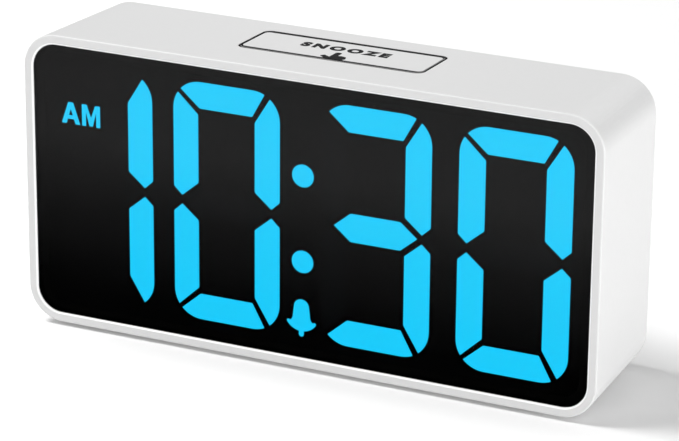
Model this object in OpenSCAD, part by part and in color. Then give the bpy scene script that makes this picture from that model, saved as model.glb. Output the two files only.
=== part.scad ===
// Bedside alarm clock: a drafted white casing with a smoked front window, large lit
// digits, a snooze key on top and the setting controls on the back.
// Millimetres. +X runs left to right as read from the front, +Y to the back, +Z up.
// The origin is under the middle of the casing, at the level of the feet.

/* [Casing] */
// Width of the casing at its front edge
case_w = 135; // [134.5:0.5:137]
// Height of the casing at its front edge, without the feet
case_h = 66.6; // [66.4:0.2:67.4]
// Depth of the casing
case_d = 36; // [36:0.5:38]
// Radius of the casing's corners as seen from the front
corner_r = 8; // [7.6:0.1:8.4]
// How much each side narrows towards the back
side_draft = 1.2; // [0.8:0.1:1.4]
// How much the top drops towards the back
top_draft = 1.1; // [0.6:0.1:1.2]
// Rounding of the back edges
rear_round = 3.6; // [3:0.1:3.7]
// Rounding of the front edges
front_round = 0.4; // [0.3:0.1:0.6]

/* [Front window] */
// Width of the white rim around the window
rim_w = 2.15; // [2:0.05:2.3]
// Radius of the window's corners
window_r = 5.7; // [5.2:0.1:6.2]
// Thickness of the smoked window
window_t = 0.95; // [0.9:0.05:1]
// How far the window sits behind the front edge
window_recess = 0.4; // [0.35:0.05:0.45]
// Bevel of the rim's inner edge
rim_bevel = 0.25; // [0.1:0.05:0.3]

/* [Display] */
// Width of a full digit
digit_w = 25.4; // [25:0.1:26]
// Height of a full digit
digit_h = 54.3; // [54.2:0.1:55.2]
// Outer corner radius of a digit
digit_r = 6.5; // [6:0.1:7]
// Diameter of the two colon dots
dot_d = 5.1; // [4.6:0.1:5.6]
// Thickness of the milky light windows
light_t = 1.6; // [1.2:0.1:2]

/* [Snooze key] */
// Width of the snooze key
key_w = 42.6; // [42:0.2:43.4]
// Depth of the snooze key
key_d = 14.3; // [14:0.1:14.8]
// Gap around the snooze key
key_gap = 0.55; // [0.4:0.05:0.6]
// Travel of the snooze key
key_travel = 0.8; // [0.6:0.1:0.9]

/* [Back] */
// Diameter of the four setting buttons
button_d = 6; // [5.6:0.1:6.4]
// Diameter of the dimmer wheel
wheel_d = 14; // [13.6:0.1:14.2]
// Travel of the alarm switch
switch_travel = 3; // [2.6:0.1:3]
// Diameter of the power inlet's bore
inlet_d = 5.6; // [5.5:0.1:5.8]
// Diameter of one hole of the sound grille
grille_hole_d = 1.8; // [1.4:0.1:2]

/* [Feet] */
// Diameter of a rubber foot
foot_d = 9; // [8:0.5:10]
// How far a foot stands out below the casing
foot_h = 0.8; // [0.6:0.1:1]

/* [Hidden] */
$fn = 96;
front = -case_d / 2;
rear = case_d / 2;
base = foot_h;
roof = base + case_h;
mid_z = base + case_h / 2;
wall_clear = 0.3;
running = 0.05;

// window
window_w = case_w - 2 * rim_w;
window_h = case_h - 2 * rim_w - 0.05;
window_back = front + window_recess + window_t;

// inside of the casing
cavity_w = case_w - 7;
cavity_h = case_h - 6.6;
cavity_z = base + 3.2 + cavity_h / 2;
cavity_top = cavity_z + cavity_h / 2;
cavity_r = 4.4;
opening_w = case_w - 10.4;
opening_h = case_h - 9.1;
opening_z = base + 4 + opening_h / 2;
opening_r = 4.2;
flange_t = 2.6;

// display stack, front to back
light_front = window_back + 0.05;
frame_t = 7.2;
board_t = 1.6;
board_front = light_front + frame_t;
board_back = board_front + board_t;
digit_z = base + 33.45;
digit_x = [-49.4, -18.85, 16.25, 47.8];
stroke = 5.95;
lit = ["bc", "abcdef", "abcdg", "abcdef"];
unlit = ["", "g", "ef", "g"];
dot_x = -0.7;
dot_z = [base + 43.3, base + 23.85];
bell_pos = [-0.9, base + 11.1];
am_pos = [-54.35, base + 48.95];
display_screws = [[-33.9, 20], [-33.9, 48], [32, 20], [32, 48]];

// back cover
cover_t = 2.2;
cover_out = rear - 1.2;
cover_in = cover_out - cover_t;
cover_w = opening_w - 0.4;
cover_h = opening_h - 0.4;
boss_x = 57;
boss_z = [base + 9.4, base + 56.2];
boss_d = 7.5;
pilot_d = 2.2;

// snooze key
key_y = 1.15;
key_r = 1.5;
slope = atan(top_draft / (case_d - front_round - rear_round));
collar_z = cavity_top - 1.4;
snooze_switch_z = collar_z - 5;
snooze_board_z = snooze_switch_z - board_t - 3.6;
snooze_post_x = 26;

// set buttons and their switches
control_back = cover_in - 5;
control_front = control_back - board_t;
button_z = 46;
button_x = [-33, -19, -5, 9];
push = 0.5;
flange_back = cover_in - 0.2;
flange_front = flange_back - 0.9;
switch_body_h = 3;

// dimmer, alarm switch, inlet
wheel_x = -27;
wheel_y = rear - 0.3 - wheel_d / 2;
wheel_z = 13;
wheel_t = 3;
slide_x = -13;
slide_z = 25;
inlet_x = -46;
inlet_z = 12;

// speaker
speaker_x = 40;
speaker_z = 47;
speaker_d = 26;

// battery bay
bay_x = [0, 50.6];
bay_z = [7, 30.2];
bay_floor = cover_in - 11.2;
bay_wall = 1.8;
cell_d = 10.5;
cell_len = 43.5;
cell_nub = 0.9;
cell_y = bay_floor + 0.3 + cell_d / 2;
cell_z = [12.85, 24.35];
plate_t = 0.4;
plus_bump = 1.4;
door_t = 1.6;

// feet
foot_x = 54;
foot_y = 10.5;
foot_sunk = 0.7;

control_screws = [[-36.5, 36], [18, 38], [-8, 12]];

// ---- shared shapes ----

module rounded_rect(w, h, r) {
    square([w - 2 * r, h], center = true);
    square([w, h - 2 * r], center = true);
    for (i = [-1, 1], j = [-1, 1])
        translate([i * (w / 2 - r), j * (h / 2 - r)])
            circle(r = r);
}

// Stands a flat shape up: its Y becomes Z, and it runs back from y by t.
module upright(y, t) {
    translate([0, y + t, 0])
        rotate([90, 0, 0])
            linear_extrude(t)
                children();
}

module upright_plate(w, h, r, y, t, z) {
    upright(y, t)
        translate([0, z])
            rounded_rect(w, h, r);
}

module rod_y(x, z, d, y, t) {
    translate([x, y + t, z])
        rotate([90, 0, 0])
            cylinder(h = t, d = d);
}

module block(x, y, z) {
    translate([x[0], y[0], z[0]])
        cube([x[1] - x[0], y[1] - y[0], z[1] - z[0]]);
}

module rod(a, b, r) {
    d = b - a;
    translate(a)
        rotate([0, acos(d[2] / norm(d)), atan2(d[1], d[0])])
            cylinder(h = norm(d), r = r);
}

module wire(path, r) {
    $fn = 24;
    for (i = [0 : len(path) - 2])
        rod(path[i], path[i + 1], r);
    for (i = [1 : len(path) - 2])
        translate(path[i])
            sphere(r = r + 0.1);
}

// A coil along +Z, made of half rings that lean to and fro.
module coil(r, wire_r, pitch, turns) {
    lean = atan(pitch / (4 * r));
    for (i = [0 : 2 * turns - 1])
        translate([0, 0, (i + 0.5) * pitch / 2])
            rotate([0, 0, 180 * i])
                rotate([0, lean, 0]) {
                    rotate_extrude(angle = 180)
                        translate([r, 0])
                            circle(r = wire_r);
                    translate([-r, 0, 0])
                        sphere(r = wire_r + 0.08);
                }
}

// A screw along Y, head towards +Y when side is 1 and towards -Y when it is -1.
module screw(x, z, y, head_d, head_t, shank_d, shank_len, side) {
    difference() {
        union() {
            rod_y(x, z, head_d, side > 0 ? y : y - head_t, head_t);
            rod_y(x, z, shank_d, side > 0 ? y - shank_len : y, shank_len);
        }
        for (a = [0, 90])
            translate([x, y + side * head_t, z])
                rotate([0, a, 0])
                    cube([head_d * 0.55, 1.4, head_d * 0.13], center = true);
    }
}

// ---- casing ----

module corner_disc(r, round) {
    rotate_extrude($fn = 64) {
        square([r - round, round]);
        intersection() {
            translate([r - round, 0])
                circle(r = round, $fn = 48);
            square([r, round]);
        }
    }
}

// The whole outside of the casing, drafted to the back.
module casing_block() {
    front_x = case_w / 2 - corner_r;
    rear_x = front_x - side_draft;
    low = base + corner_r;
    high = roof - corner_r;
    hull()
        for (s = [-1, 1]) {
            for (z = [low, high])
                translate([s * front_x, front + front_round, z])
                    rotate([90, 0, 0])
                        corner_disc(corner_r, front_round);
            for (z = [low, high - top_draft])
                translate([s * rear_x, rear - rear_round, z])
                    rotate([-90, 0, 0])
                        corner_disc(corner_r, rear_round);
        }
}

module cover_boss(s, z) {
    up = z > mid_z ? 1 : -1;
    rod_y(s * boss_x, z, boss_d, board_back, cover_in - board_back);
    block([min(s * boss_x, s * (cavity_w / 2 + 0.5)), max(s * boss_x, s * (cavity_w / 2 + 0.5))],
        [board_back, cover_in - 1], [z - 0.8, z + 0.8]);
    block([s * boss_x - 0.8, s * boss_x + 0.8], [board_back, cover_in - 1],
        up > 0 ? [z, cavity_top + 0.5] : [base + 2.7, z]);
}

module snooze_post(s) {
    translate([s * snooze_post_x, key_y, snooze_board_z + board_t])
        cylinder(h = cavity_top + 0.5 - snooze_board_z - board_t, d = 5);
}

// Cuts the bevel along the inner edge of the rim.
module rim_bevel_cut() {
    hull() {
        upright_plate(window_w, window_h, window_r, front + rim_bevel, 0.01, mid_z - 0.025);
        upright_plate(window_w + 4 * rim_bevel, window_h + 4 * rim_bevel, window_r + 2 * rim_bevel,
            front - rim_bevel, 0.01, mid_z - 0.025);
    }
}

module main_housing() {
    color("WhiteSmoke")
    difference() {
        union() {
            difference() {
                casing_block();
                upright_plate(window_w, window_h, window_r, front - 1, window_back - front + 1,
                    mid_z - 0.025);
                rim_bevel_cut();
                upright_plate(cavity_w, cavity_h, cavity_r, front + 0.5,
                    case_d - 0.5 - flange_t, cavity_z);
                upright_plate(opening_w, opening_h, opening_r, 0, rear + 1, opening_z);
            }
            for (s = [-1, 1], z = boss_z)
                cover_boss(s, z);
            for (s = [-1, 1])
                snooze_post(s);
        }
        for (s = [-1, 1], z = boss_z)
            rod_y(s * boss_x, z, pilot_d, cover_in - 11.5, 12);
        for (s = [-1, 1])
            translate([s * snooze_post_x, key_y, snooze_board_z])
                cylinder(h = 7, d = 1.8);
        translate([0, key_y, cavity_top - 1])
            linear_extrude(6)
                rounded_rect(key_w + 2 * key_gap, key_d + 2 * key_gap, key_r + key_gap);
        for (s = [-1, 1], y = [-foot_y, foot_y])
            translate([s * foot_x, y, base - 1])
                cylinder(h = foot_sunk + 1, d = foot_d + 0.2);
    }
}

module front_window() {
    color("#15171a")
    upright_plate(window_w - 0.1, window_h - 0.1, window_r - 0.05, front + window_recess,
        window_t, mid_z - 0.025);
}

// ---- display ----

// Outline of one segment of a digit, centred on the digit. The lower half mirrors
// the upper: d mirrors a, c mirrors b and e mirrors f.
module segment(name) {
    half_w = digit_w / 2;
    half_h = digit_h / 2;
    in_x = half_w - stroke;
    in_z = half_h - stroke;
    lower = name == "c" || name == "d" || name == "e";
    kind = name == "d" ? "a" : name == "c" ? "b" : name == "e" ? "f" : name;
    mirror([0, lower ? 1 : 0])
        intersection() {
            rounded_rect(digit_w, digit_h, digit_r);
            if (kind == "a")
                polygon([[-in_x + 0.4, in_z], [in_x - 0.6, in_z], [in_x + 2.95, half_h + 0.5],
                    [-in_x - 7.1, half_h + 0.5]]);
            if (kind == "b")
                polygon([[in_x, 4.3], [in_x, in_z - 1.3], [in_x + 4.85, half_h + 0.6],
                    [half_w + 1, half_h + 0.6], [half_w + 1, 3.75], [half_w - 2, 1]]);
            if (kind == "f")
                polygon([[-in_x, 4.3], [2 - half_w, 1], [-half_w - 1, 3.75],
                    [-half_w - 1, in_z + 5.05], [-in_x, in_z - 1.4]]);
            if (kind == "g")
                polygon([[3.05 - half_w, 0], [-in_x + 1, 3.2], [in_x - 1, 3.2],
                    [half_w - 3.05, 0], [in_x - 1, -3.2], [-in_x + 1, -3.2]]);
        }
}

module digit(i, names) {
    for (c = names)
        translate([digit_x[i], digit_z])
            segment(c);
}

// Middle of the light well behind a segment, from the middle of the digit.
function well_at(c) =
    c == "a" ? [-0.4, digit_h / 2 - 3] :
    c == "d" ? [-0.4, 3 - digit_h / 2] :
    c == "g" ? [0, 0] :
    [(c == "b" || c == "c" ? 1 : -1) * (digit_w / 2 - 3), (c == "b" || c == "f" ? 1 : -1) * 12.2];

function flat(c) = c == "a" || c == "d" || c == "g";

module letter_a(w, h, t) {
    difference() {
        polygon([[0, 0], [w / 2 - t * 0.55, h], [w / 2 + t * 0.55, h], [w, 0], [w - t * 1.08, 0],
            [w / 2, h - 1.35 * t], [t * 1.08, 0]]);
        translate([0, -1])
            square([w, 1]);
    }
    polygon([[w * 0.2, h * 0.22], [w * 0.8, h * 0.22], [w * 0.7, h * 0.22 + t * 0.8],
        [w * 0.3, h * 0.22 + t * 0.8]]);
}

module letter_m(w, h, t) {
    polygon([[0, 0], [0, h], [t * 1.2, h], [w / 2, h * 0.42], [w - t * 1.2, h], [w, h], [w, 0],
        [w - t, 0], [w - t, h * 0.66], [w / 2 + t * 0.42, 0.02 * h], [w / 2 - t * 0.42, 0.02 * h],
        [t, h * 0.66], [t, 0]]);
}

module am_shape() {
    translate([am_pos[0] - 4.75, am_pos[1] - 2.45]) {
        letter_a(4.6, 4.9, 1.1);
        translate([5.05, 0])
            letter_m(4.5, 4.9, 1);
    }
}

// A bell with a round dome, a flared brim that bulges below, and a clapper.
module bell_shape() {
    translate(bell_pos) {
        translate([0, 2.3])
            circle(r = 1.8);
        polygon([[-1.8, 2.3], [1.8, 2.3], [2.1, -0.3], [2.5, -0.9], [3.2, -1.15], [3.2, -1.3],
            [-3.2, -1.3], [-3.2, -1.15], [-2.5, -0.9], [-2.1, -0.3]]);
        intersection() {
            translate([0, 0.85])
                circle(r = 4.1);
            translate([-3.45, -3.5])
                square([6.9, 2.3]);
        }
        for (s = [-1, 1])
            translate([s * 3.1, -1.2])
                circle(r = 0.35);
        translate([-0.6, -3.9])
            square([1.2, 1]);
        translate([0, -3.9])
            circle(r = 0.6);
    }
}

module light_frame() {
    color("#101010")
    difference() {
        upright_plate(cavity_w - 2 * wall_clear, cavity_h - 2 * wall_clear, cavity_r - wall_clear,
            light_front, frame_t, cavity_z);
        upright(light_front - 1, light_t + 1) {
            for (i = [0 : 3])
                digit(i, str(lit[i], unlit[i]));
            am_shape();
            bell_shape();
            for (z = dot_z)
                translate([dot_x, z])
                    circle(d = dot_d);
        }
        for (i = [0 : 3], c = str(lit[i], unlit[i]))
            translate([digit_x[i] + well_at(c)[0], light_front + frame_t / 2 + 0.5,
                    digit_z + well_at(c)[1]])
                cube([flat(c) ? 10.5 : 3.4, frame_t + 1, flat(c) ? 3.4 : 12.5], center = true);
        for (z = dot_z)
            rod_y(dot_x, z, dot_d - 1.2, light_front + 1, frame_t);
        rod_y(bell_pos[0], bell_pos[1], 3.6, light_front + 1, frame_t);
        translate([am_pos[0], light_front + frame_t / 2 + 1, am_pos[1]])
            cube([8, frame_t, 3.4], center = true);
        for (p = display_screws)
            rod_y(p[0], p[1], 1.8, board_front - 5, 6);
    }
}

module lit_digit(i) {
    color("#26ceff")
    upright(light_front, light_t)
        digit(i, lit[i]);
}

module unlit_digit(i) {
    color("#3a4144")
    upright(light_front, light_t)
        digit(i, unlit[i]);
}

module colon_dots() {
    color("#26ceff")
    for (z = dot_z)
        rod_y(dot_x, z, dot_d, light_front, light_t);
}

module am_symbol() {
    color("#26ceff")
    upright(light_front, light_t)
        am_shape();
}

module alarm_bell_symbol() {
    color("#26ceff")
    upright(light_front, light_t)
        bell_shape();
}

module display_board() {
    color("#14502a")
    difference() {
        upright_plate(cavity_w - 2 * wall_clear - 0.4, cavity_h - 2 * wall_clear - 0.4, 3.9,
            board_front, board_t, cavity_z);
        for (p = display_screws)
            rod_y(p[0], p[1], 2.4, board_front - 1, board_t + 2);
    }
}

module led(x, z, turned) {
    translate([x, board_front - 0.35, z])
        cube([turned ? 1.4 : 2.2, 0.7, turned ? 2.2 : 1.4], center = true);
}

module display_leds() {
    color("#e8e4c8") {
        for (i = [0 : 3], c = str(lit[i], unlit[i]), k = [-1, 1])
            led(digit_x[i] + well_at(c)[0] + (flat(c) ? k * 2.8 : 0),
                digit_z + well_at(c)[1] + (flat(c) ? 0 : k * 3.4), !flat(c));
        for (z = dot_z)
            led(dot_x, z, false);
        led(bell_pos[0], bell_pos[1], false);
        led(am_pos[0], am_pos[1], false);
    }
}

module display_driver_chip() {
    color("#202022") {
        block([-34, -16], [board_back + 0.15, board_back + 2], [30, 37.4]);
        for (i = [0 : 9], s = [-1, 1])
            translate([-33.1 + 1.8 * i, board_back + 0.5, 33.7 + s * 4.3])
                cube([0.6, 1, 1.4], center = true);
    }
}

module ribbon_headers() {
    color("#efe9d8") {
        block([-3, 13], [board_back, board_back + 3], [38, 42]);
        block([-3, 13], [control_front - 3, control_front], [38, 42]);
    }
}

module ribbon_cable() {
    start = board_back + 3;
    end = control_front - 3;
    mid = (start + end) / 2;
    color("#b8bcc2")
    translate([-2, 0, 0])
        rotate([90, 0, 90])
            linear_extrude(14)
                polygon([[start, 39.6], [mid - 0.35, 39.6], [mid - 0.35, 30], [mid + 0.35, 30],
                    [mid + 0.35, 39.6], [end, 39.6], [end, 40.3], [mid - 0.05, 40.3],
                    [mid - 0.05, 39.9], [mid + 0.05, 39.9], [mid + 0.05, 40.3], [start, 40.3]]);
}

// ---- snooze key ----

module snooze_key() {
    color("WhiteSmoke") {
        difference() {
            union() {
                translate([0, key_y, collar_z])
                    linear_extrude(10)
                        rounded_rect(key_w, key_d, key_r);
                translate([0, key_y, collar_z])
                    linear_extrude(1.2)
                        rounded_rect(key_w + 3, key_d + 2.4, key_r);
            }
            translate([-case_w / 2, front + front_round, roof])
                rotate([-slope, 0, 0])
                    translate([0, -5, 0])
                        cube([case_w, 50, 12]);
            translate([0, key_y, collar_z - 1])
                linear_extrude(3.2)
                    rounded_rect(key_w - 4, key_d - 4, 0.8);
        }
        translate([0, key_y, snooze_switch_z + 3.4])
            cylinder(h = collar_z + 2.4 - snooze_switch_z - 3.4, d = 4.4);
    }
}

module snooze_switch_plunger() {
    color("#222222")
    translate([0, key_y, snooze_switch_z - 1.3])
        cylinder(h = 4.7, d = 3.4);
}

module snooze_switch_body() {
    color("#2c2c2e")
    difference() {
        translate([0, key_y, snooze_switch_z - 1.8])
            cube([6.2, 6.2, 3.6], center = true);
        translate([0, key_y, snooze_switch_z - 2.3])
            cylinder(h = 4, d = 3.4 + 2 * running);
    }
}

module snooze_board() {
    color("#14502a")
    difference() {
        translate([0, key_y, snooze_board_z])
            linear_extrude(board_t)
                rounded_rect(2 * snooze_post_x + 8, 11, 1.5);
        for (s = [-1, 1])
            translate([s * snooze_post_x, key_y, snooze_board_z - 1])
                cylinder(h = board_t + 2, d = 2.4);
    }
}

// ---- back cover ----

module grille() {
    rod_y(speaker_x, speaker_z, grille_hole_d, cover_in - 1, cover_t + 2);
    for (ring = [1 : 3], i = [0 : 6 * ring - 1])
        rod_y(speaker_x + 3.3 * ring * cos(60 * i / ring), speaker_z + 3.3 * ring * sin(60 * i / ring),
            grille_hole_d, cover_in - 1, cover_t + 2);
}

module battery_bay() {
    block([bay_x[0] - bay_wall, bay_x[1] + bay_wall], [bay_floor - 1.4, cover_in + 0.5],
        [bay_z[0] - bay_wall, bay_z[1] + bay_wall]);
}

module rear_cover() {
    color("#ececea")
    difference() {
        union() {
            upright_plate(cover_w, cover_h, opening_r - 0.2, cover_in, cover_t, opening_z);
            battery_bay();
            for (p = control_screws)
                rod_y(p[0], p[1], 5, control_back, cover_in + 0.5 - control_back);
            rod_y(speaker_x, speaker_z, speaker_d + 4, cover_in - 3, 3.5);
        }
        // battery bay, the seat of its door and a nail notch
        block(bay_x, [bay_floor, rear], bay_z);
        block([bay_x[0] - 1.2, bay_x[1] + 1.2], [cover_out - door_t - 0.1, rear],
            [bay_z[0] - 1.2, bay_z[1] + 1.2]);
        rod_y((bay_x[0] + bay_x[1]) / 2, bay_z[1] + 1.2, 8, cover_out - 0.9, 2);
        rod_y(speaker_x, speaker_z, speaker_d + 0.6, cover_in - 4, 4);
        grille();
        for (p = control_screws)
            rod_y(p[0], p[1], 1.8, control_back - 1, 5);
        for (s = [-1, 1], z = boss_z) {
            rod_y(s * boss_x, z, 2.7, cover_in - 1, cover_t + 2);
            rod_y(s * boss_x, z, 5.4, cover_out - 1.2, 2);
        }
        for (x = button_x)
            rod_y(x, button_z, button_d + 0.7, cover_in - 1, cover_t + 2);
        rod_y(inlet_x, inlet_z, 8.2, cover_in - 1, cover_t + 2);
        block([wheel_x - 6.5, wheel_x + 6.5], [cover_in - 1, rear],
            [wheel_z - 0.4, wheel_z + wheel_t + 0.4]);
        block([slide_x - 3.6, slide_x + 3.6], [cover_in - 1, rear],
            [slide_z - 1.6, slide_z + 1.6]);
        block([slide_x - 5, slide_x + 5], [cover_out - 0.6, rear], [slide_z - 2.6, slide_z + 2.6]);
    }
}

module rear_cover_screws() {
    color("Silver")
    for (s = [-1, 1], z = boss_z)
        screw(s * boss_x, z, cover_out - 1.2, 5, 1.3, 2.1, 10.5, 1);
}

// The board leaves room for the battery bay and, at its lower edge, for the dimmer.
module control_board() {
    color("#14502a")
    difference() {
        union() {
            block([-40, 22], [control_front, control_back], [34, 53]);
            block([-40, -4], [control_front, control_back], [8, 35]);
        }
        block([wheel_x - 8, wheel_x + 8], [control_front - 1, control_back + 1], [7, 18.5]);
        for (p = control_screws)
            rod_y(p[0], p[1], 2.4, control_front - 1, board_t + 2);
    }
}

// The same small screw holds all three boards.
module board_screws() {
    color("Silver") {
        for (p = display_screws)
            screw(p[0], p[1], board_back, 4, 1.3, 1.7, 5.4, 1);
        for (p = control_screws)
            screw(p[0], p[1], control_front, 4, 1.3, 1.7, 5.4, -1);
        for (s = [-1, 1])
            translate([s * snooze_post_x, key_y, snooze_board_z])
                rotate([-90, 0, 0])
                    screw(0, 0, 0, 4, 1.3, 1.7, 5.4, 1);
    }
}

module set_button(i) {
    color("#dcdcda") {
        rod_y(button_x[i], button_z, button_d, flange_back - 0.2, rear - 0.3 - flange_back + 0.2);
        rod_y(button_x[i], button_z, button_d + 2.2, flange_front, 0.9);
    }
}

module set_plunger(i) {
    color("#222222")
    rod_y(button_x[i], button_z, 3.4, control_back + switch_body_h - 1, flange_front - control_back - switch_body_h + 1);
}

module set_switch_bodies() {
    color("#2c2c2e")
    for (x = button_x)
        difference() {
            block([x - 3.1, x + 3.1], [control_back, control_back + switch_body_h],
                [button_z - 3.1, button_z + 3.1]);
            rod_y(x, button_z, 3.4 + 2 * running, control_back + 1.3, 3);
        }
}

module alarm_slide_body() {
    color("#b9bbbd")
    difference() {
        block([slide_x - 5.2, slide_x + 5.2], [control_back, control_back + 3.6],
            [slide_z - 2.4, slide_z + 2.4]);
        block([slide_x - 3.6, slide_x + 3.6], [control_back + 1.4, control_back + 5],
            [slide_z - 1.4, slide_z + 1.4]);
    }
}

module alarm_slide_knob() {
    left = slide_x - switch_travel / 2;
    color("#262626")
    difference() {
        block([left - 1.5, left + 1.5], [control_back + 1.7, rear - 0.5],
            [slide_z - 1.1, slide_z + 1.1]);
        for (k = [-0.8, 0, 0.8])
            translate([left + k, rear - 0.5, slide_z])
                cube([0.3, 0.6, 5], center = true);
    }
}

module dimmer_wheel() {
    color("#262626")
    difference() {
        union() {
            translate([wheel_x, wheel_y, wheel_z])
                cylinder(h = wheel_t, d = wheel_d);
            translate([wheel_x, wheel_y, wheel_z - 2.2])
                cylinder(h = 3, d = 3);
        }
        for (a = [0 : 15 : 345])
            translate([wheel_x + (wheel_d / 2 + 0.25) * cos(a), wheel_y + (wheel_d / 2 + 0.25) * sin(a),
                    wheel_z - 1])
                cylinder(h = wheel_t + 2, d = 1.1, $fn = 24);
        translate([wheel_x, wheel_y, wheel_z + wheel_t - 0.5])
            cylinder(h = 1, d = wheel_d - 5);
    }
}

module dimmer_body() {
    color("#3b3f46")
    difference() {
        block([wheel_x - 8, wheel_x + 8], [wheel_y - 4.4, wheel_y + 3.6],
            [wheel_z - 4, wheel_z - 0.4]);
        translate([wheel_x, wheel_y, wheel_z - 2.6])
            cylinder(h = 4, d = 3 + 2 * running);
    }
}

module inlet_body() {
    color("#1d1d1f")
    difference() {
        union() {
            block([inlet_x - 5, inlet_x + 5], [cover_in - 10, cover_in], [inlet_z - 5, inlet_z + 5]);
            rod_y(inlet_x, inlet_z, 7.8, cover_in - 1, cover_out - cover_in + 1);
        }
        rod_y(inlet_x, inlet_z, inlet_d, cover_in - 7.5, 12);
        rod_y(inlet_x, inlet_z, 1.9, cover_in - 9, 3);
    }
}

module inlet_pin() {
    color("Silver")
    rod_y(inlet_x, inlet_z, 1.9, cover_in - 9, 10);
}

// ---- speaker ----

module speaker_basket() {
    color("#55585c")
    difference() {
        union() {
            rod_y(speaker_x, speaker_z, speaker_d, cover_in - 1.6, 1.4);
            rod_y(speaker_x, speaker_z, speaker_d - 4, cover_in - 5.2, 4);
        }
        rod_y(speaker_x, speaker_z, speaker_d - 3, cover_in - 1.1, 2);
        rod_y(speaker_x, speaker_z, speaker_d - 6, cover_in - 4.4, 5);
        rod_y(speaker_x, speaker_z, 5.2, cover_in - 6, 3);
    }
}

module speaker_cone() {
    color("#2b2b2b")
    translate([speaker_x, cover_in - 0.7, speaker_z])
        rotate([90, 0, 0])
            rotate_extrude()
                polygon([[0, 1.2], [2.4, 1.9], [9, 0], [speaker_d / 2 - 1.6, 0],
                    [speaker_d / 2 - 1.6, 0.4], [9.1, 0.4], [2.5, 2.5], [2.5, 5.2], [2.1, 5.2],
                    [2.1, 2.3], [0, 1.7]]);
}

module speaker_magnet() {
    color("#8d9094")
    difference() {
        rod_y(speaker_x, speaker_z, 14, cover_in - 8.6, 3.4);
        rod_y(speaker_x, speaker_z, 5.4, cover_in - 7.2, 3);
    }
}

// ---- battery bay ----

module battery_door() {
    x0 = bay_x[0] - 0.9;
    x1 = bay_x[1] + 0.9;
    color("#ececea")
    difference() {
        union() {
            block([x0, x1], [cover_out - door_t, cover_out], [bay_z[0] - 0.9, bay_z[1] + 0.9]);
            for (x = [14, 36.6])
                block([x - 3, x + 3], [cover_out - door_t - 1.6, cover_out - door_t + 0.5],
                    [bay_z[0] + 0.4, bay_z[0] + 1.6]);
            block([(x0 + x1) / 2 - 5, (x0 + x1) / 2 + 5], [cover_out - door_t - 1.6, cover_out - door_t + 0.5],
                [bay_z[1] - 1.6, bay_z[1] - 0.4]);
        }
        for (k = [0 : 4])
            block([(x0 + x1) / 2 - 5, (x0 + x1) / 2 + 5], [cover_out - 0.4, rear],
                [bay_z[1] - 6.2 + k * 1.2, bay_z[1] - 5.7 + k * 1.2]);
    }
}

// A cell along X. Its button touches the bump of the contact at the end of the bay
// that side names: -1 for the left end and 1 for the right.
module cell(z, side) {
    bump_x = side < 0 ? bay_x[0] + 0.2 + plate_t + plus_bump : bay_x[1] - 0.2 - plate_t - plus_bump;
    color("#2c3238")
    translate([bump_x, cell_y, z])
        rotate([0, -side * 90, 0]) {
            cylinder(h = cell_nub + 0.5, d = 3.8);
            translate([0, 0, cell_nub])
                cylinder(h = cell_len, d = cell_d);
        }
}

module contact_plate(x, z0, z1) {
    block([x, x + plate_t], [cell_y - 4, cell_y + 4], [z0, z1]);
}

module contact_bump(x, z) {
    block([x, x + plus_bump + 0.2], [cell_y - 1.5, cell_y + 1.5], [z - 1.5, z + 1.5]);
}

module minus_coil(x, z, turn) {
    translate([x, cell_y, z])
        rotate([0, turn * 90, 0])
            coil(2.6, 0.3, 1.05, 3);
}

module battery_plus_contact() {
    x = bay_x[0] + 0.2;
    color("Silver") {
        contact_plate(x, cell_z[1] - 3.5, cell_z[1] + 3.5);
        contact_bump(x + plate_t - 0.2, cell_z[1]);
    }
}

module battery_minus_contact() {
    x = bay_x[0] + 0.2;
    color("Silver") {
        contact_plate(x, cell_z[0] - 3.5, cell_z[0] + 3.5);
        minus_coil(x + plate_t, cell_z[0], 1);
    }
}

module battery_link_contact() {
    x = bay_x[1] - 0.2 - plate_t;
    color("Silver") {
        contact_plate(x, cell_z[0] - 3.5, cell_z[1] + 3.5);
        contact_bump(x - plus_bump, cell_z[0]);
        minus_coil(x, cell_z[1], -1);
    }
}

module foot(s, y) {
    color("#303030")
    difference() {
        translate([s * foot_x, y, 0])
            cylinder(h = foot_h + foot_sunk, d = foot_d);
        translate([s * foot_x, y, -1])
            cylinder(h = 1.2, d = foot_d - 4);
    }
}

// ---- wires ----

module speaker_wires() {
    color("#b02020")
    for (z = [45, 48])
        rod([29, cover_in - 4.2, z], [20, control_back + 0.55, z], 0.5);
}

module battery_wires() {
    color("#303030")
    for (z = cell_z)
        wire([[-bay_wall, control_front - 2, z], [-4.6, control_front - 2, z],
            [-10, control_front - 2.5, z + 4], [-10, control_front, z + 4]], 0.5);
}

module inlet_wires() {
    color("#303030")
    for (k = [-1, 1])
        wire([[inlet_x, cover_in - 10, inlet_z + 1.5 * k], [inlet_x, cover_in - 11.8, inlet_z + 1.5 * k],
            [-38, control_front - 3, 22 + 1.5 * k], [-38, control_front, 22 + 1.5 * k]], 0.5);
}

module snooze_wires() {
    color("#303030")
    for (x = [14, 17])
        wire([[x, key_y + 3, snooze_board_z], [x, key_y + 3, snooze_board_z - 3],
            [x, control_front, snooze_board_z - 3]], 0.5);
}

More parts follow.
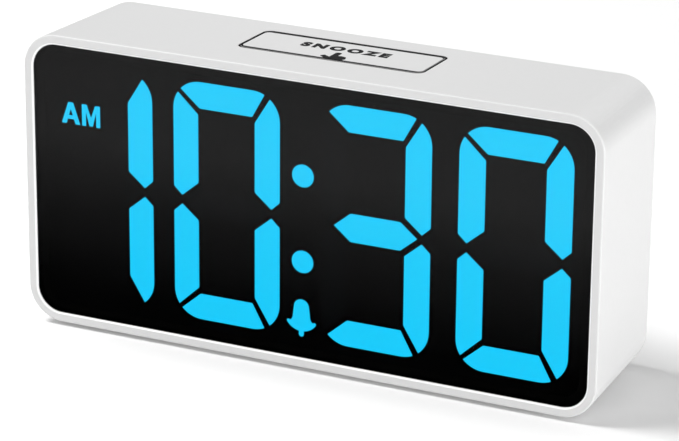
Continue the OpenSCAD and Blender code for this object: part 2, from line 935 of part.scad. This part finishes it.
main_housing();
front_window();
light_frame();
lit_digit(0);  // digit_1_lit_segments
lit_digit(1);  // digit_2_lit_segments
lit_digit(2);  // digit_3_lit_segments
lit_digit(3);  // digit_4_lit_segments
unlit_digit(1);  // digit_2_unlit_segment
unlit_digit(2);  // digit_3_unlit_segments
unlit_digit(3);  // digit_4_unlit_segment
colon_dots();
am_symbol();
alarm_bell_symbol();
display_board();
display_leds();
display_driver_chip();
board_screws();
ribbon_headers();
ribbon_cable();
snooze_key();
snooze_switch_plunger();
snooze_switch_body();
snooze_board();
rear_cover();
rear_cover_screws();
control_board();
set_button(0);  // clock_set_button
set_button(1);  // alarm_set_button
set_button(2);  // hour_button
set_button(3);  // minute_button
set_plunger(0);  // clock_set_plunger
set_plunger(1);  // alarm_set_plunger
set_plunger(2);  // hour_plunger
set_plunger(3);  // minute_plunger
set_switch_bodies();
alarm_slide_knob();
alarm_slide_body();
dimmer_wheel();
dimmer_body();
inlet_body();
inlet_pin();
speaker_basket();
speaker_cone();
speaker_magnet();
battery_door();
cell(cell_z[1], -1);  // battery_cell_upper
cell(cell_z[0], 1);  // battery_cell_lower
battery_plus_contact();
battery_minus_contact();
battery_link_contact();
foot(-1, -foot_y);  // foot_front_left
foot(1, -foot_y);  // foot_front_right
foot(-1, foot_y);  // foot_rear_left
foot(1, foot_y);  // foot_rear_right
speaker_wires();
battery_wires();
inlet_wires();
snooze_wires();
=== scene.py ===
import math

import bpy
import bmesh
from mathutils import Euler, Matrix, Vector


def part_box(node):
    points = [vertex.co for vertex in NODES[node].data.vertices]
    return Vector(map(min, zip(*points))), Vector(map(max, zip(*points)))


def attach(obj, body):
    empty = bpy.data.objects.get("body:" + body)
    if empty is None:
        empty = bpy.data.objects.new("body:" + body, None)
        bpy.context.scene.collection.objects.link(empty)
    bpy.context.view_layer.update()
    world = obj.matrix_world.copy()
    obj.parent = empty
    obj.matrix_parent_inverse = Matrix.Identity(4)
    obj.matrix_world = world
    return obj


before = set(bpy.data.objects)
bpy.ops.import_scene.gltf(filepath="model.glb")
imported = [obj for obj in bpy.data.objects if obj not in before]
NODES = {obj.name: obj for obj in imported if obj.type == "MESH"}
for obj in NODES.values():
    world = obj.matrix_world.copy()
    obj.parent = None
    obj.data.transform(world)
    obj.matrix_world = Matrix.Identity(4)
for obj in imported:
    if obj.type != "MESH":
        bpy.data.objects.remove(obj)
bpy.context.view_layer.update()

MM = 0.001

# Corner radii of the window and of the snooze key, how far the collar under the key stands out
# at its ends and sides, and the gap between the key and the casing
WINDOW_RADIUS = 5.65 * MM
KEY_RADIUS = 1.5 * MM
KEY_COLLAR = (1.5 * MM, 1.2 * MM)
KEY_GAP = 0.55 * MM

# The four setting buttons and the words beside them
BUTTON_WORDS = {"clock_set": "TIME", "alarm_set": "ALARM", "hour": "HOUR", "minute": "MIN"}


# ---- camera, floor and light ----

def make_camera():
    data = bpy.data.cameras.new("camera")
    data.sensor_width = 36
    data.lens = 176.8
    data.clip_start = 0.01
    data.clip_end = 50
    camera = bpy.data.objects.new("camera", data)
    camera.location = (0.2879, -0.6152, 0.27987)
    camera.rotation_euler = Euler([math.radians(angle) for angle in (69.705, -0.470, 25.240)])
    bpy.context.scene.collection.objects.link(camera)
    bpy.context.scene.camera = camera


def make_floor():
    """A pale floor just below the feet, with a trace of glow that lifts the shadows."""
    bpy.ops.mesh.primitive_plane_add(size=8, location=(0, 0, -0.03 * MM))
    floor = bpy.context.object
    floor.name = "floor"
    material, tree, shader = new_material("pale_floor")
    shader.inputs["Base Color"].default_value = (0.92, 0.92, 0.92, 1)
    shader.inputs["Roughness"].default_value = 0.9
    shader.inputs["Specular IOR Level"].default_value = 0.0
    shader.inputs["Emission Color"].default_value = (1, 1, 1, 1)
    shader.inputs["Emission Strength"].default_value = 0.03
    floor.data.materials.append(material)


def area_lamp(name, place, size, power):
    """A rectangular lamp that faces the middle of the clock."""
    middle = Vector((0, 0, 0.03))
    data = bpy.data.lights.new(name, "AREA")
    data.shape = "RECTANGLE"
    data.size, data.size_y = size
    data.energy = power
    lamp = bpy.data.objects.new(name, data)
    lamp.location = place
    lamp.rotation_euler = (middle - Vector(place)).to_track_quat("-Z", "Y").to_euler()
    bpy.context.scene.collection.objects.link(lamp)


def make_light():
    scene = bpy.context.scene
    scene.view_settings.view_transform = "Standard"
    scene.world = bpy.data.worlds.new("studio")
    scene.world.use_nodes = True
    sky = scene.world.node_tree.nodes["Background"]
    sky.inputs["Color"].default_value = (1, 1, 1, 1)
    sky.inputs["Strength"].default_value = 0.26
    area_lamp("top_softbox", (-0.54, -0.12, 1.01), (0.5, 0.5), 11.9)
    area_lamp("front_softbox", (0.15, -1.05, 0.3), (0.8, 0.3), 4.2)
    area_lamp("side_softbox", (0.9, -0.1, 0.09), (0.5, 0.14), 5.8)
    area_lamp("back_softbox", (-0.2, 1.2, 0.4), (0.9, 0.4), 2.0)


# ---- materials ----

def new_material(name):
    material = bpy.data.materials.new(name)
    material.use_nodes = True
    tree = material.node_tree
    tree.nodes.clear()
    shader = tree.nodes.new("ShaderNodeBsdfPrincipled")
    out = tree.nodes.new("ShaderNodeOutputMaterial")
    tree.links.new(shader.outputs["BSDF"], out.inputs["Surface"])
    return material, tree, shader


def object_place(tree):
    """The place on the object, in metres in the clock's own frame."""
    return tree.nodes.new("ShaderNodeTexCoord").outputs["Object"]


def noise(tree, scale, detail):
    texture = tree.nodes.new("ShaderNodeTexNoise")
    texture.inputs["Scale"].default_value = scale
    texture.inputs["Detail"].default_value = detail
    tree.links.new(object_place(tree), texture.inputs["Vector"])
    return texture.outputs["Fac"]


def ramp(tree, source, stops):
    node = tree.nodes.new("ShaderNodeValToRGB")
    tree.links.new(source, node.inputs["Fac"])
    band = node.color_ramp
    while len(band.elements) < len(stops):
        band.elements.new(0.5)
    for element, (at, colour) in zip(band.elements, stops):
        element.position = at
        element.color = (*colour, 1)
    return node.outputs["Color"]


def map_range(tree, source, low, high, to_low, to_high):
    node = tree.nodes.new("ShaderNodeMapRange")
    tree.links.new(source, node.inputs["Value"])
    values = {"From Min": low, "From Max": high, "To Min": to_low, "To Max": to_high}
    for socket, value in values.items():
        node.inputs[socket].default_value = value
    return node.outputs["Result"]


def bump(tree, shader, height, distance):
    node = tree.nodes.new("ShaderNodeBump")
    node.inputs["Strength"].default_value = 1.0
    node.inputs["Distance"].default_value = distance
    tree.links.new(height, node.inputs["Height"])
    tree.links.new(node.outputs["Normal"], shader.inputs["Normal"])


def surface(name, colour, rough, vary=0.03, metal=0.0, grain=2200, depth=0.0, specular=0.5):
    """A material whose colour and roughness wander a little, with an optional fine grain."""
    patch_scale, uneven = grain * 0.15, 0.07
    material, tree, shader = new_material(name)
    patches = noise(tree, patch_scale, 2.0)
    dark = tuple(c * (1 - vary) for c in colour)
    light = tuple(min(1.0, c * (1 + vary)) for c in colour)
    tree.links.new(ramp(tree, patches, [(0.3, dark), (0.7, light)]), shader.inputs["Base Color"])
    wander = map_range(tree, patches, 0.3, 0.7, rough * (1 - uneven), rough * (1 + uneven))
    tree.links.new(wander, shader.inputs["Roughness"])
    shader.inputs["Metallic"].default_value = metal
    shader.inputs["Specular IOR Level"].default_value = specular
    if depth:
        bump(tree, shader, noise(tree, grain, 2.0), depth)
    return material


def height_in(tree, node):
    """Height as a share of a node's box, 0 at its bottom and 1 at its top."""
    low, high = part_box(node)
    split = tree.nodes.new("ShaderNodeSeparateXYZ")
    tree.links.new(object_place(tree), split.inputs["Vector"])
    return map_range(tree, split.outputs["Z"], low.z, high.z, 0.0, 1.0)


def smoked_painted_reflection(name, share, alpha):
    """Smoked plastic with a painted reflection: near black at the bottom and paler towards the top; share
    scales its greys.
    """
    material, tree, shader = new_material(name)
    # Painted reflection: these greys rise with height and stand in for the floor's reflection in the
    # window.
    painted_reflection_greys = ((0.1, 0.0), (0.22, 0.003), (0.32, 0.0066), (0.42, 0.0102), (0.5, 0.0158), (0.68, 0.0292))
    stops = [(at, (grey * share,) * 3) for at, grey in painted_reflection_greys]
    tree.links.new(ramp(tree, height_in(tree, "front_window"), stops), shader.inputs["Base Color"])
    shader.inputs["Roughness"].default_value = 0.2
    shader.inputs["Specular IOR Level"].default_value = 0.015
    shader.inputs["Alpha"].default_value = alpha
    return material


def glowing(name, colour, strength):
    """A light-filled plastic that hardly varies and shows no gloss."""
    material, tree, shader = new_material(name)
    shader.inputs["Base Color"].default_value = (0.01, 0.02, 0.025, 1)
    shader.inputs["Roughness"].default_value = 0.6
    dim = tuple(c * 0.985 for c in colour)
    light = ramp(tree, noise(tree, 60, 1.0), [(0.3, dim), (0.7, colour)])
    tree.links.new(light, shader.inputs["Emission Color"])
    shader.inputs["Emission Strength"].default_value = strength
    return material


def vector_step(tree, operation, vector, value=(0.0, 0.0, 0.0)):
    node = tree.nodes.new("ShaderNodeVectorMath")
    node.operation = operation
    tree.links.new(vector, node.inputs[0])
    node.inputs[1].default_value = value
    return node.outputs["Value" if operation == "LENGTH" else "Vector"]


def from_window_arcs(tree):
    """Distance in XZ from the rectangle through the centres of the window's corner arcs."""
    low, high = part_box("front_window")
    half = (high - low) / 2
    straight = (half.x - WINDOW_RADIUS, 0, half.z - WINDOW_RADIUS)
    vector = vector_step(tree, "SUBTRACT", object_place(tree), (low + high) / 2)
    vector = vector_step(tree, "MULTIPLY", vector, (1, 0, 1))
    vector = vector_step(tree, "ABSOLUTE", vector)
    vector = vector_step(tree, "SUBTRACT", vector, straight)
    vector = vector_step(tree, "MAXIMUM", vector)
    return vector_step(tree, "LENGTH", vector)


def casing_plastic():
    """White plastic with a fine grain, polished on the edge round the window and paler there as a painted
    highlight.
    """
    rough, polished = 0.5, 0.24
    white, painted_highlight = (0.61, 0.61, 0.61), (0.9, 0.9, 0.9, 1)
    edge_width, fade = 0.36 * MM, 0.06 * MM
    material = surface("casing_plastic", white, rough, vary=0.006, grain=5200, depth=0.000004)
    tree = material.node_tree
    shader = next(node for node in tree.nodes if node.type == "BSDF_PRINCIPLED")
    edge = WINDOW_RADIUS + edge_width
    plain = map_range(tree, from_window_arcs(tree), edge, edge + fade, 0.0, 1.0)
    tree.links.new(map_range(tree, plain, 0.0, 1.0, polished, rough), shader.inputs["Roughness"])
    # Painted highlight: the edge round the window takes the pale colour in place of the plastic's white.
    mix = tree.nodes.new("ShaderNodeMix")
    mix.data_type = "RGBA"
    tree.links.new(plain, mix.inputs["Factor"])
    mix.inputs["A"].default_value = painted_highlight
    tree.links.new(shader.inputs["Base Color"].links[0].from_socket, mix.inputs["B"])
    tree.links.new(mix.outputs["Result"], shader.inputs["Base Color"])
    return material


# ---- materials of the CAD nodes ----

LIT_NODES = [f"digit_{number}_lit_segments" for number in (1, 2, 3, 4)]
LIT_NODES += ["colon_dots", "am_symbol", "alarm_bell_symbol"]


def paint(material, *nodes):
    for node in nodes:
        mesh = NODES[node].data
        mesh.materials.clear()
        mesh.materials.append(material)


def dress_case():
    cover = surface("cover_plastic", (0.57, 0.57, 0.566), 0.58, vary=0.01, grain=3800, depth=0.000012,
                    specular=0.3)
    rubber = surface("foot_rubber", (0.03, 0.03, 0.03), 0.85, vary=0.1, depth=0.00001)
    button = surface("button_grey", (0.55, 0.55, 0.545), 0.42, vary=0.01)
    paint(casing_plastic(), "main_housing", "snooze_key")
    paint(cover, "rear_cover", "battery_door")
    paint(smoked_painted_reflection("smoked_window", 1.0, 0.35), "front_window")
    paint(rubber, "foot_front_left", "foot_front_right", "foot_rear_left", "foot_rear_right")
    paint(button, *[control + "_button" for control in BUTTON_WORDS])


def dress_display():
    """What shows through the window; its lit parts don't spill colour on what is round them."""
    well = surface("light_frame_black", (0.0015, 0.0015, 0.0015), 0.7, vary=0.1, specular=0.0)
    unlit = surface("unlit_segments", (0.006, 0.007, 0.008), 0.6, vary=0.1, specular=0.0)
    paint(well, "light_frame")
    paint(glowing("lit_segments", (0.003, 0.615, 1.0), 2.284), *LIT_NODES)
    for node in LIT_NODES:
        NODES[node].visible_diffuse = False
    paint(unlit, "digit_2_unlit_segment", "digit_3_unlit_segments", "digit_4_unlit_segment")
    paint(surface("led_yellow", (0.75, 0.68, 0.4), 0.4), "display_leds")
    paint(surface("chip_epoxy", (0.015, 0.015, 0.017), 0.55, vary=0.1), "display_driver_chip")


def dress_works():
    black = surface("black_plastic", (0.012, 0.012, 0.013), 0.45, vary=0.1, depth=0.000006)
    board = surface("board_green", (0.012, 0.12, 0.04), 0.35, vary=0.1)
    steel = surface("zinc_steel", (0.6, 0.6, 0.61), 0.3, vary=0.05, metal=1.0)
    nickel = surface("nickel_plate", (0.72, 0.7, 0.66), 0.22, vary=0.04, metal=1.0)
    cone = surface("speaker_paper", (0.03, 0.03, 0.03), 0.8, vary=0.15, depth=0.00001)
    black_wire = surface("black_insulation", (0.02, 0.02, 0.02), 0.5)
    paint(black, "alarm_slide_knob", "dimmer_wheel", "dimmer_body", "inlet_body", "set_switch_bodies",
          "snooze_switch_body", "snooze_switch_plunger")
    paint(black, *[control + "_plunger" for control in BUTTON_WORDS])
    paint(board, "display_board", "control_board", "snooze_board")
    paint(steel, "board_screws", "rear_cover_screws", "alarm_slide_body", "speaker_basket")
    paint(nickel, "inlet_pin", "battery_plus_contact", "battery_minus_contact", "battery_link_contact")
    paint(surface("cream_nylon", (0.7, 0.66, 0.52), 0.5), "ribbon_headers")
    paint(surface("ribbon_grey", (0.36, 0.38, 0.41), 0.55), "ribbon_cable")
    paint(cone, "speaker_cone")
    paint(surface("magnet_cup", (0.35, 0.35, 0.36), 0.4, metal=1.0), "speaker_magnet")
    paint(surface("cell_sleeve", (0.03, 0.035, 0.04), 0.35), "battery_cell_upper", "battery_cell_lower")
    paint(surface("red_insulation", (0.4, 0.02, 0.02), 0.5), "speaker_wires")
    paint(black_wire, "battery_wires", "inlet_wires", "snooze_wires")


# ---- shapes for the pieces that model.glb does not hold ----

def mesh_piece(name, mesh, body, material):
    piece = bpy.data.objects.new(name, mesh)
    bpy.context.scene.collection.objects.link(piece)
    mesh.materials.clear()
    mesh.materials.append(material)
    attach(piece, body)


def arc(centre, radius, start, end, steps):
    angles = [start + (end - start) * i / steps for i in range(steps + 1)]
    return [(centre[0] + radius * math.cos(a), centre[1] + radius * math.sin(a)) for a in angles]


def rounded_outline(low, high, radius):
    """A rectangle with round corners, anticlockwise from the right."""
    quarter, steps = math.pi / 2, 10
    corners = [(high[0] - radius, high[1] - radius), (low[0] + radius, high[1] - radius),
               (low[0] + radius, low[1] + radius), (high[0] - radius, low[1] + radius)]
    points = []
    for turn, corner in enumerate(corners):
        points += arc(corner, radius, turn * quarter, (turn + 1) * quarter, steps)
    return points


def soft_outline(corners):
    """A closed outline through (x, y, radius) corners, each rounded by its radius."""
    steps = 5
    points = []
    for index, (x, y, radius) in enumerate(corners):
        here = Vector((x, y))
        before = (Vector(corners[index - 1][:2]) - here).normalized()
        after = (Vector(corners[(index + 1) % len(corners)][:2]) - here).normalized()
        half = before.angle(after) / 2
        reach = radius / math.tan(half)
        start = here + before * reach
        end = here + after * reach
        for i in range(steps + 1):
            t = i / steps
            blend = start * (1 - t) ** 2 + here * 2 * t * (1 - t) + end * t ** 2
            points.append((blend.x, blend.y))
    return points


def finished(mesh):
    bmesh.ops.recalc_face_normals(mesh, faces=mesh.faces)
    data = bpy.data.meshes.new("shape")
    mesh.to_mesh(data)
    mesh.free()
    return data


def plate(outline, thickness):
    """A closed flat plate from z = 0 to z = thickness."""
    mesh = bmesh.new()
    bottom = [mesh.verts.new((x, y, 0)) for x, y in outline]
    top = [mesh.verts.new((x, y, thickness)) for x, y in outline]
    mesh.faces.new(list(reversed(bottom)))
    mesh.faces.new(top)
    for i in range(len(outline)):
        j = (i + 1) % len(outline)
        mesh.faces.new((bottom[i], bottom[j], top[j], top[i]))
    return finished(mesh)


def ring(outer, inner, bottom, top):
    """A closed ring between two outlines with the same number of points."""
    mesh = bmesh.new()
    loops = [[mesh.verts.new((x, y, z)) for x, y in outline]
             for outline, z in ((outer, bottom), (outer, top), (inner, top), (inner, bottom))]
    for a, b in zip(loops, loops[1:] + loops[:1]):
        for i in range(len(outer)):
            j = (i + 1) % len(outer)
            mesh.faces.new((a[i], a[j], b[j], b[i]))
    return finished(mesh)


def span(mesh, axis):
    values = [vert.co[axis] for vert in mesh.verts]
    return min(values), max(values)


def lettering(words, width, height, thickness, bold, spacing):
    """Raised letters on z = 0 around the origin; with width None they keep their proportions."""
    curve = bpy.data.curves.new("letters", "FONT")
    curve.body = words
    curve.offset = bold
    curve.space_character = spacing
    curve.extrude = 0.1
    curve.resolution_u = 5
    text = bpy.data.objects.new("letters", curve)
    bpy.context.scene.collection.objects.link(text)
    bpy.context.view_layer.update()
    data = bpy.data.meshes.new_from_object(text.evaluated_get(bpy.context.evaluated_depsgraph_get()))
    bpy.data.objects.remove(text)
    mesh = bmesh.new()
    mesh.from_mesh(data)
    bmesh.ops.remove_doubles(mesh, verts=mesh.verts, dist=1e-5)
    spans = [span(mesh, axis) for axis in range(3)]
    if width is None:
        width = height * (spans[0][1] - spans[0][0]) / (spans[1][1] - spans[1][0])
    sizes = (width, height, thickness)
    starts = (-0.5, -0.5, 0.0)
    for vert in mesh.verts:
        for axis, (low, high) in enumerate(spans):
            vert.co[axis] = ((vert.co[axis] - low) / (high - low) + starts[axis]) * sizes[axis]
    return finished(mesh)


def place(mesh, origin, right, up):
    """Moves a shape made in the XY plane onto the plane through origin, facing right x up."""
    right = Vector(right).normalized()
    up = Vector(up).normalized()
    turn = Matrix((right, up, right.cross(up))).transposed().to_4x4()
    mesh.transform(Matrix.Translation(origin) @ turn)
    return mesh


# ---- the pieces ----

def make_window_border():
    """The opaque border printed on the window's back, and the ink round its edge, both greyed by height
    with the window's painted reflection, scaled to 0.35.
    """
    low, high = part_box("front_window")
    frame_low, frame_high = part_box("light_frame")
    # Painted reflection: the print takes the window's height ramp at 0.35 of its greys.
    ink = smoked_painted_reflection("window_border_print", 0.35, 1.0)
    inset, overlap = 0.08 * MM, 0.6 * MM
    outer_radius, inner_radius = 5.6 * MM, 3.6 * MM
    print_start, print_end = 0.01 * MM, 0.04 * MM
    ink_thick, ink_start, ink_short = 0.05 * MM, 0.06 * MM, 0.03 * MM

    def outline(shrink):
        corner_low = (low.x + inset + shrink, low.z + inset + shrink)
        corner_high = (high.x - inset - shrink, high.z - inset - shrink)
        return rounded_outline(corner_low, corner_high, outer_radius - shrink)

    def on_back(name, mesh):
        mesh_piece(name, place(mesh, (0, high.y, 0), (1, 0, 0), (0, 0, 1)), "clock", ink)

    inner = rounded_outline((frame_low.x + overlap, frame_low.z + overlap),
                            (frame_high.x - overlap, frame_high.z - overlap), inner_radius)
    on_back("window_border_print", ring(outline(0), inner, print_start, print_end))
    wall = ring(outline(0), outline(ink_thick), ink_start, high.y - low.y - ink_short)
    on_back("window_edge_ink", wall)


def key_top():
    """The middle of the snooze key's sloping top, the way up the slope to the back, and its half size."""
    low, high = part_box("snooze_key")
    flat = [face for face in NODES["snooze_key"].data.polygons if face.normal.z > 0.9]
    face = max(flat, key=lambda f: f.center.z * f.area)
    normal, at = face.normal, face.center
    middle = Vector(((low.x + high.x) / 2, (low.y + high.y) / 2, 0))
    middle.z = at.z - (normal.y * (middle.y - at.y)) / normal.z
    half = Vector(((high.x - low.x) / 2 - KEY_COLLAR[0], (high.y - low.y) / 2 - KEY_COLLAR[1]))
    return middle, Vector((0, normal.z, -normal.y)), half


def make_painted_key_gap_shade(dark):
    """A dark strip in the gap around the snooze key, just below the top: painted shade standing in for
    the gap's shadow.
    """
    play, below, deep = 0.05 * MM, 0.06 * MM, 1.0 * MM
    middle, back, half = key_top()

    def outline(grow):
        corner = half + Vector((grow, grow))
        return rounded_outline(-corner, corner, KEY_RADIUS + grow)

    # Painted shade: this dark strip darkens the gap where there is only shadow.
    strip = ring(outline(KEY_GAP - play), outline(play), -below - deep, -below)
    mesh_piece("painted_shade_key_gap", place(strip, middle, (1, 0, 0), back), "clock", dark)


# A hand that points to the back, as (x, y, corner radius) in mm from the clock's middle
HAND = [(-0.78, -0.1, 0.6), (0.62, -0.1, 0.6), (0.62, -2.6, 0.12), (1.4, -2.35, 0.45), (2.6, -2.7, 0.5),
        (3.1, -4.1, 0.6), (2.2, -5.9, 0.3), (-1.1, -5.9, 0.3), (-1.6, -5.1, 0.4), (-3.0, -3.9, 0.4),
        (-2.3, -2.9, 0.45), (-0.78, -3.9, 0.2)]


def make_key_legend(ink):
    """The printed word, outline and pointing hand on the snooze key."""
    middle, back, half = key_top()
    thin = 0.03 * MM
    word_x, word_y, word_width, word_height = 0.05 * MM, 2.72 * MM, 20.7 * MM, 3.4 * MM
    inset, side, ends, inner_radius = 0.04 * MM, 0.14 * MM, 0.85 * MM, 1.2 * MM

    def print_on_key(name, mesh, at):
        mesh_piece(name, place(mesh, at, (1, 0, 0), back), "snooze_key", ink)

    word = lettering("SNOOZE", word_width, word_height, thin, bold=0.072, spacing=1.42)
    print_on_key("snooze_word", word, middle + back * (word_y - middle.y) + Vector((word_x, 0, 0)))
    half -= Vector((inset, inset))
    outer = rounded_outline(-half, half, KEY_RADIUS - inset)
    inner = rounded_outline((side - half.x, ends - half.y), (half.x - side, half.y - ends), inner_radius)
    print_on_key("snooze_outline", ring(outer, inner, 0.0, thin), middle)
    hand = soft_outline([(x * MM, y * MM, radius * MM) for x, y, radius in HAND])
    print_on_key("snooze_hand_sign", plate(hand, thin), middle - back * middle.y)


def make_back_words(ink):
    """Short raised words beside the controls on the back, read from behind."""
    cover_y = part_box("rear_cover")[1].y
    raised, tall, small = 0.12 * MM, 2.0 * MM, 1.6 * MM
    above_button, above_wheel, above_switch = 3.2 * MM, 3.4 * MM, 4.2 * MM
    on_side, off_side = 6.0 * MM, -3.0 * MM

    def word(name, words, x, z, height):
        letters = lettering(words, None, height, raised, bold=0.0, spacing=1.12)
        mesh_piece(name, place(letters, (x, cover_y, z), (-1, 0, 0), (0, 0, 1)), "clock", ink)

    for control, words in BUTTON_WORDS.items():
        low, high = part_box(control + "_button")
        word(control + "_word", words, (low.x + high.x) / 2, high.z + above_button, tall)
    low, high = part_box("alarm_slide_knob")
    knob_x, words_z = (low.x + high.x) / 2, (low.z + high.z) / 2 + above_switch
    word("alarm_on_word", "ON", knob_x + on_side, words_z, small)
    word("alarm_off_word", "OFF", knob_x + off_side, words_z, small)
    low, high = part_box("dimmer_wheel")
    word("dimmer_word", "DIM", (low.x + high.x) / 2, high.z + above_wheel, tall)


def make_details():
    black_ink = surface("black_ink", (0.006, 0.006, 0.0065), 0.6, vary=0.1, specular=0.05)
    # Painted shade for the snooze key gap: a near-black strip standing in for its shadow.
    dark = surface("painted_gap_shade", (0.008, 0.008, 0.008), 0.9, vary=0.1, specular=0.0)
    grey_ink = surface("grey_ink", (0.16, 0.16, 0.165), 0.55, vary=0.05)
    make_window_border()
    make_painted_key_gap_shade(dark)
    make_key_legend(black_ink)
    make_back_words(grey_ink)


make_camera()
make_floor()
make_light()
dress_case()
dress_display()
dress_works()
make_details()
